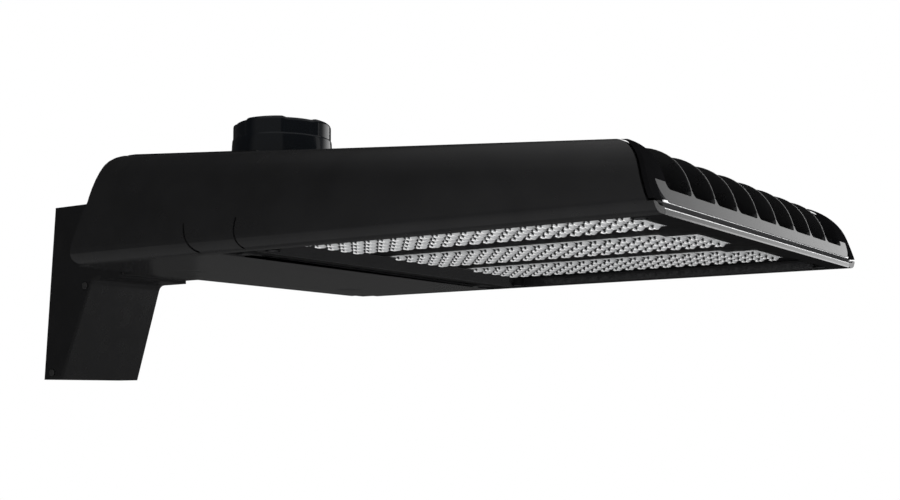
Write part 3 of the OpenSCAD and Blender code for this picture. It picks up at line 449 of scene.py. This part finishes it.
def lens_form():
    """One double lens: points as x, y and depth, faces and their material indices."""
    points, faces, marks = [], [], []
    nu, nv = LENS_STEPS

    def put(u, v, lift):
        points.append((LENS_PITCH / 2 * u, LENS_ROW_PITCH / 2 * v, lens_depth(u, v) + lift))

    for j in range(nv + 1):
        for i in range(nu + 1):
            put(2 * i / nu - 1, 2 * j / nv - 1, 0)
    for j in range(nv):
        for i in range(nu):
            k = j * (nu + 1) + i
            corners = (k, k + nu + 1, k + nu + 2, k + 1)
            deep = sum(points[c][2] for c in corners) / len(corners) / LENS_SAG
            faces.append(corners)
            # The deepest faces take the white painted highlight
            marks.append(TIP if deep > TIP_FROM else CLEAR)
    # A painted dark spot follows the slope: its middle, a ring inside it and its edge
    for u0, v0 in SPOTS:
        middle = len(points)
        put(u0, v0, SPOT_LIFT)
        for share in (SPOT_RING, 1.0):
            for k in range(SPOT_SIDES):
                a = 2 * math.pi * k / SPOT_SIDES
                put(u0 + share * SPOT_HALF[0] * math.cos(a),
                    v0 + share * SPOT_HALF[1] * math.sin(a), SPOT_LIFT)
        for k in range(SPOT_SIDES):
            here, there = middle + 1 + k, middle + 1 + (k + 1) % SPOT_SIDES
            faces.append((middle, there, here))
            faces.append((here, there, there + SPOT_SIDES, here + SPOT_SIDES))
            marks += [SPOT, SPOT]
    return points, faces, marks


LENS = lens_form()


def plate_form(x0, x1, half, middle, z):
    """Plate of a strip with a notch at the nose: its points and faces."""
    outline = [(x0, -half), (x1 - NOTCH[0], -half), (x1 - NOTCH[0], NOTCH[1] - half),
               (x1, NOTCH[1] - half), (x1, half), (x0, half)]
    count = len(outline)
    verts = [(x, middle + y, level) for level in (z, z + PLATE_T) for x, y in outline]
    faces = [tuple(reversed(range(count))), tuple(range(count, 2 * count))]
    faces += [(k, (k + 1) % count, count + (k + 1) % count, count + k) for k in range(count)]
    return verts, faces


def lens_strip(node):
    """Clear strip: a plate that fits the window and its field of lenses."""
    low, high = box_mm(node)
    middle = (low[1] + high[1]) / 2
    x0, x1 = low[0] + STRIP_FLANGE, high[0] - STRIP_FLANGE
    half = (high[1] - low[1]) / 2 - STRIP_FLANGE
    z = low[2] + PLATE_LIFT
    verts, faces = plate_form(x0, x1, half, middle, z)
    marks = [CLEAR] * len(faces)
    points, lens_faces, lens_marks = LENS
    for row in range(LENS_ROWS):
        cy = middle + (row - (LENS_ROWS - 1) / 2) * LENS_ROW_PITCH
        count = int((x1 - x0) / LENS_PITCH) - (ROW_CUT if row == 0 else 0)
        for i in range(count):
            cx = x0 + LENS_PITCH * (i + 0.5)
            first = len(verts)
            verts += [(cx + x, cy + y, z - LENS_SINK - depth) for x, y, depth in points]
            faces += [tuple(first + c for c in face) for face in lens_faces]
            marks += lens_marks
    name = node + "_lenses"
    piece = add_object(name, mesh_of(name, verts, faces, marks),
                       *[MATERIALS[mat] for mat in STRIP_MATERIALS])
    stands_for(piece, node)


for node in STRIPS:
    lens_strip(node)

# ---- Twist-lock cap ----------------------------------------------------------------

CAP_AROUND = 180
# Grip lobes: number, middle of the first, half width and width of an edge, in degrees
CAP_LOBES = 4
CAP_LOBE_AT = 18.0
CAP_LOBE_HALF = 25.0
CAP_LOBE_EDGE = 7.0
# Foot: inwards from its radius, and upwards
CAP_FOOT = [(2.5, 0.0), (0.5, 0.0), (0.0, 0.6)]
CAP_PLAY = 0.05
CAP_TAPER = 1.1
# Height of the grip over the ledge at its foot, how far the grip stands back on a lobe, how
# much farther between lobes, and how much lower the top is there
CAP_GRIP = 14.5
CAP_STEP = 0.7
CAP_RECESS = 1.2
CAP_DIP = 0.9
# Share of that recess that the ledge follows
CAP_LEDGE_SHARE = 0.15
# The ledge's rounded outer corner, inwards from its radius and up, and the corner where the
# grip rises from it, outwards from the grip's radius and up
CAP_LEDGE_OUT = [(0.0, -1.0), (0.1, -0.4)]
CAP_LEDGE_IN = [(0.1, 0.15), (0.0, 0.7)]
# The point between them: this far inside the ledge's radius or outside the grip's, at the
# smaller radius of the two
CAP_LEDGE_MID = (0.35, 0.6)
# Radius of the top edge, and the arcs that it is made of
CAP_EDGE = 3.4
CAP_EDGE_STEPS = 6
# Dish in the top: radius and depth
CAP_DISH = [(30.0, 0.1), (28.5, 0.5), (12.0, 0.5), (0.0, 0.5)]


def lobe_at(angle):
    """1 on a grip lobe, 0 between two lobes, smooth at their edges."""
    off = (angle - CAP_LOBE_AT) % (360.0 / CAP_LOBES)
    off = min(off, 360.0 / CAP_LOBES - off)
    t = min(max((CAP_LOBE_HALF + CAP_LOBE_EDGE / 2 - off) / CAP_LOBE_EDGE, 0.0), 1.0)
    return t * t * (3 - 2 * t)


def cap_profile(lobe, r_low, low, top):
    """Radius and height of the cap's outside from its foot to its middle."""
    r_top = r_low - CAP_TAPER
    r = r_top - CAP_STEP - CAP_RECESS * (1 - lobe)
    z = top - CAP_DIP * (1 - lobe)
    ledge = r_top - CAP_RECESS * (1 - lobe) * CAP_LEDGE_SHARE
    foot = top - CAP_GRIP
    points = [(r_low - back, low + up) for back, up in CAP_FOOT]
    points += [(ledge - back, foot + up) for back, up in CAP_LEDGE_OUT]
    points.append((min(ledge - CAP_LEDGE_MID[0], r + CAP_LEDGE_MID[1]), foot))
    points += [(r + out, foot + up) for out, up in CAP_LEDGE_IN]
    for k in range(CAP_EDGE_STEPS + 1):
        a = math.pi / 2 * k / CAP_EDGE_STEPS
        points.append((r - CAP_EDGE + CAP_EDGE * math.cos(a),
                       z - CAP_EDGE + CAP_EDGE * math.sin(a)))
    return points + [(radius, top - deep) for radius, deep in CAP_DISH]


def control_cap():
    low, high = box_mm("control_cap")
    cx, cy = (low[0] + high[0]) / 2, (low[1] + high[1]) / 2
    r_low = (high[0] - low[0]) / 2 - CAP_PLAY
    verts, faces = [], []
    for k in range(CAP_AROUND):
        angle = 360.0 * k / CAP_AROUND
        a = math.radians(angle)
        for r, z in cap_profile(lobe_at(angle), r_low, low[2], high[2]):
            verts.append((cx + r * math.cos(a), cy + r * math.sin(a), z))
    rows = len(verts) // CAP_AROUND
    for k in range(CAP_AROUND):
        here, there = k * rows, (k + 1) % CAP_AROUND * rows
        for i in range(rows - 2):
            faces.append((here + i, there + i, there + i + 1, here + i + 1))
        faces.append((here + rows - 2, there + rows - 2, here + rows - 1))
    name = "control_cap_shell"
    piece = add_object(name, mesh_of(name, verts, faces), MATERIALS["cap_plastic"])
    # The last point of every profile is the middle of the top
    work = bmesh.new()
    work.from_mesh(piece.data)
    bmesh.ops.remove_doubles(work, verts=work.verts, dist=0.01 * MM)
    work.to_mesh(piece.data)
    work.free()
    stands_for(piece, "control_cap")


control_cap()

# ---- Camera, world and stage -------------------------------------------------------

# As fitted to the photo
CAMERA_LENS = 51.03
CAMERA_PLACE = (0.9214, -0.798, -0.097)
CAMERA_TURN = (96.65, 0.29, 33.14)
# How bright the world is as a light; it is white where it is seen
WORLD_FILL = 0.6
WHITE = (1, 1, 1, 1)
FLOOR_GREY = (0.82, 0.82, 0.82, 1)
FLOOR_Z = -2.4
FLOOR_HALF = 60
# Share of white in the floor as it is seen, and the distances at which it starts and ends
FLOOR_WHITE = (0.55, 1.0)
FLOOR_FADE = (2.5, 5.0)


def add_camera():
    data = bpy.data.cameras.new("camera")
    data.lens = CAMERA_LENS
    data.sensor_width = 36.0
    data.clip_start = 0.01
    data.clip_end = 200.0
    camera = bpy.data.objects.new("camera", data)
    camera.location = CAMERA_PLACE
    camera.rotation_euler = [math.radians(a) for a in CAMERA_TURN]
    bpy.context.scene.collection.objects.link(camera)
    bpy.context.scene.camera = camera


def is_seen(tree):
    """1 for a ray from the camera, in gloss or through clear parts, and 0 for light."""
    path = new_node(tree, "ShaderNodeLightPath")
    value = path.outputs["Is Camera Ray"]
    for name in ("Is Glossy Ray", "Is Transmission Ray"):
        top = new_node(tree, "ShaderNodeMath", operation="MAXIMUM")
        tree.links.new(value, top.inputs[0])
        tree.links.new(path.outputs[name], top.inputs[1])
        value = top.outputs[0]
    return value


def mixed(tree, share, first, second):
    """Mix of two shaders, with the second one's share."""
    mix = new_node(tree, "ShaderNodeMixShader")
    tree.links.new(share, mix.inputs[0])
    tree.links.new(first.outputs[0], mix.inputs[1])
    tree.links.new(second.outputs[0], mix.inputs[2])
    return mix


def put_out(tree, shader, kind="ShaderNodeOutputMaterial"):
    out = new_node(tree, kind)
    tree.links.new(shader.outputs[0], out.inputs[0])


def empty_material(name):
    mat = bpy.data.materials.new(name)
    mat.use_nodes = True
    mat.node_tree.nodes.clear()
    return mat, mat.node_tree


def set_world():
    world = bpy.data.worlds.new("world")
    world.use_nodes = True
    bpy.context.scene.world = world
    tree = world.node_tree
    tree.nodes.clear()
    seen = new_node(tree, "ShaderNodeBackground", Color=WHITE, Strength=1.0)
    fill = new_node(tree, "ShaderNodeBackground", Color=WHITE, Strength=WORLD_FILL)
    put_out(tree, mixed(tree, is_seen(tree), fill, seen), "ShaderNodeOutputWorld")


def floor_material():
    """White far away, and near the object a pale floor that keeps its shadow."""
    mat, tree = empty_material("floor")
    matte = new_node(tree, "ShaderNodeBsdfDiffuse", Color=FLOOR_GREY)
    glow = new_node(tree, "ShaderNodeEmission", Color=WHITE, Strength=1.0)
    coords = new_node(tree, "ShaderNodeTexCoord")
    length = new_node(tree, "ShaderNodeVectorMath", operation="LENGTH")
    link(tree, coords, "Object", length, 0)
    white = new_node(tree, "ShaderNodeMath", operation="MULTIPLY")
    tree.links.new(ranged(tree, length.outputs["Value"], *FLOOR_WHITE, *FLOOR_FADE),
                   white.inputs[0])
    tree.links.new(is_seen(tree), white.inputs[1])
    put_out(tree, mixed(tree, white.outputs[0], matte, glow))
    return mat


def card_material(name, levels):
    """Glow that changes evenly over a card.

    levels gives its level at x = z = 0, the change per metre of x and of z, and its least
    and greatest value.
    """
    start, per_x, per_z, low, high = levels
    mat, tree = empty_material(name)
    coords = new_node(tree, "ShaderNodeTexCoord")
    slope = new_node(tree, "ShaderNodeVectorMath", operation="DOT_PRODUCT")
    slope.inputs[1].default_value = (per_x, 0, per_z)
    link(tree, coords, "Object", slope, 0)
    level = new_node(tree, "ShaderNodeMath", operation="ADD")
    level.inputs[1].default_value = start
    link(tree, slope, "Value", level, 0)
    limits = new_node(tree, "ShaderNodeClamp", Min=low, Max=high)
    link(tree, level, 0, limits, "Value")
    glow = new_node(tree, "ShaderNodeEmission", Color=WHITE)
    link(tree, limits, 0, glow, "Strength")
    put_out(tree, glow)
    return mat


def wall(a, b, low, high):
    """Corners of an upright card that stands on the line from a to b."""
    return [(*a, low), (*b, low), (*b, high), (*a, high)]


def level_card(x0, y0, x1, y1, z):
    """Corners of a level card."""
    return [(x0, y0, z), (x1, y0, z), (x1, y1, z), (x0, y1, z)]


# The room of cards: its four sides, its floor and top, and how far two cards lie over the floor
X0, Y0, X1, Y1 = -2.6, -2.6, 2.8, 2.8
LOW, TOP = -0.55, 2.4
RAISED = LOW + 0.02
# The window on the far side is bright from WINDOW_X to the corner, dimmer from WINDOW_LEFT,
# and goes round the corner to SIDE_Y; it starts at WINDOW_LOW on its dimmer part
WINDOW_LEFT, WINDOW_X, SIDE_Y = -0.2, 0.8, 1.6
WINDOW_LOW, WINDOW_TOP = 0.2, 1.4
# Cards that only gloss sees: name, levels as in card_material, and corners. The nose bar and
# the lip under it mirror the window.
CARDS = [
    ("card_near", (0.28, 0.14, 0, 0.03, 0.16), wall((X0, Y0), (X1, Y0), LOW, TOP)),
    ("card_back", (0.03, 0, 0, 0, 1), wall((X0, Y0), (X0, Y1), LOW, TOP)),
    ("card_far_low", (-0.02, -0.05, 0, 0.003, 0.05),
     wall((X0, Y1), (WINDOW_X, Y1), LOW, WINDOW_LOW)),
    ("card_far_high", (0.02, 0, 0, 0, 1), wall((X0, Y1), (WINDOW_LEFT, Y1), WINDOW_LOW, TOP)),
    ("card_front", (0.045, 0, 0, 0, 1), wall((X1, Y0), (X1, SIDE_Y), LOW, TOP)),
    ("card_window_left", (2.6, 0, -1.4, 0.3, 1.6),
     wall((WINDOW_LEFT, Y1), (WINDOW_X, Y1), WINDOW_LOW, WINDOW_TOP)),
    ("card_window", (3.05, -1.0, -0.9, 0.15, 2.0),
     wall((WINDOW_X, Y1), (X1, Y1), LOW, WINDOW_TOP)),
    ("card_window_side", (0.4, 0, 0, 0, 1), wall((X1, SIDE_Y), (X1, Y1), LOW, WINDOW_TOP)),
    ("card_window_top", (0.05, 0, 0, 0, 1), wall((WINDOW_LEFT, Y1), (X1, Y1), WINDOW_TOP, TOP)),
    ("card_side_top", (0.05, 0, 0, 0, 1), wall((X1, SIDE_Y), (X1, Y1), WINDOW_TOP, TOP)),
    ("card_top", (0.34, 0.21, 0, 0.02, 0.3), level_card(X0, Y0, X1, Y1, TOP)),
    ("card_low", (0.05, 0, 0, 0, 1), level_card(X0, Y0, X1, Y1, LOW)),
    ("card_under", (0.2, 0, 0, 0, 1), level_card(-0.9, -0.9, 0.6, 0.0, RAISED)),
    ("card_glint", (1.9, 0, 0, 0, 2), level_card(0.9, 1.3, 1.4, 2.7, RAISED)),
]


def stage_plane(name, corners, mat):
    mesh = bpy.data.meshes.new(name)
    mesh.from_pydata(corners, [], [(0, 1, 2, 3)])
    plane = add_object(name, mesh, mat)
    return plane


def set_stage():
    stage_plane("floor", level_card(-FLOOR_HALF, -FLOOR_HALF, FLOOR_HALF, FLOOR_HALF, FLOOR_Z),
                floor_material())
    for name, levels, corners in CARDS:
        card = stage_plane(name, corners, card_material(name, levels))
        card.visible_camera = False
        card.visible_diffuse = False
        card.visible_transmission = False
        card.visible_volume_scatter = False
        card.visible_shadow = False


# ---- Lamps -------------------------------------------------------------------------

# Name, place, target, size in metres and power in watts
LAMPS = [
    ("lamp_top", (0.6, 0.3, 1.8), (0.3, 0, 0), (1.6, 1.2), 18),
    ("lamp_front", (2.2, -1.0, -0.1), (0.4, 0, 0), (1.0, 1.0), 8),
    ("lamp_low", (1.05, -0.4, -0.5), (0.58, 0, 0), (0.8, 0.6), 5.5),
]


def add_lamp(name, place, target, size, power):
    """Soft lamp that gloss doesn't mirror."""
    data = bpy.data.lights.new(name, "AREA")
    data.shape = "RECTANGLE"
    data.size, data.size_y = size
    data.energy = power
    lamp = bpy.data.objects.new(name, data)
    lamp.location = place
    lamp.visible_glossy = False
    lamp.visible_camera = False
    aim = Vector(target) - Vector(place)
    lamp.rotation_euler = aim.to_track_quat("-Z", "Y").to_euler()
    bpy.context.scene.collection.objects.link(lamp)


add_camera()
set_world()
set_stage()
for lamp in LAMPS:
    add_lamp(*lamp)
bpy.context.scene.view_settings.view_transform = "Standard"
